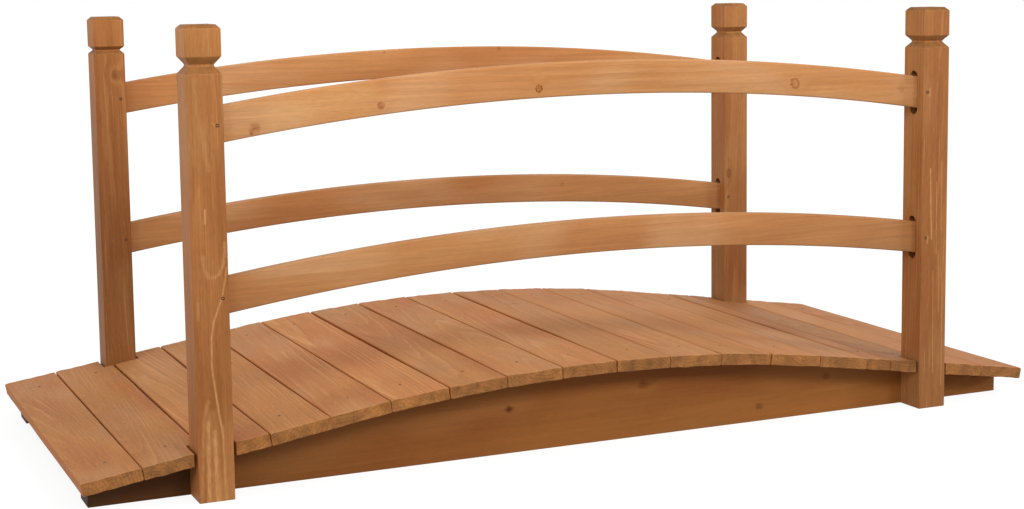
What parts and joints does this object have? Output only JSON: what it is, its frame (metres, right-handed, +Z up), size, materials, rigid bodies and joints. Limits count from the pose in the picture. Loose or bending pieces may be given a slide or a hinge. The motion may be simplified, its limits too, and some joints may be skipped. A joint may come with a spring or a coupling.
{
  "type": "arched garden footbridge",
  "caption": "Low arched timber footbridge for a garden: notched planks on bowed stringers, with square posts and curved rails along both sides of the walkway.",
  "frame": {"origin": "on the ground, under the middle of the deck", "axes": "+X along the walkway, +Y across it towards the back railing, +Z up"},
  "size_m": [1.3994, 0.6, 0.585],
  "materials": {
    "deck": "stained softwood, satin",
    "post": "stained softwood, satin",
    "rail": "stained softwood, satin",
    "stringer": "stained softwood, satin"
  },
  "bodies": {
    "root": {"deck_plank_01": "deck", "deck_plank_02": "deck", "deck_plank_03": "deck", "deck_plank_04": "deck", "deck_plank_05": "deck", "deck_plank_06": "deck", "deck_plank_07": "deck", "deck_plank_08": "deck", "deck_plank_09": "deck", "deck_plank_10": "deck", "deck_plank_11": "deck", "deck_plank_12": "deck", "deck_plank_13": "deck", "deck_plank_14": "deck", "deck_plank_15": "deck", "deck_plank_16": "deck", "deck_plank_17": "deck", "deck_plank_18": "deck", "post_front_left": "post", "post_front_right": "post", "post_back_left": "post", "post_back_right": "post", "top_rail_front": "rail", "top_rail_back": "rail", "low_rail_front": "rail", "low_rail_back": "rail", "stringer_front": "stringer", "stringer_back": "stringer"}
  },
  "joints": []
}
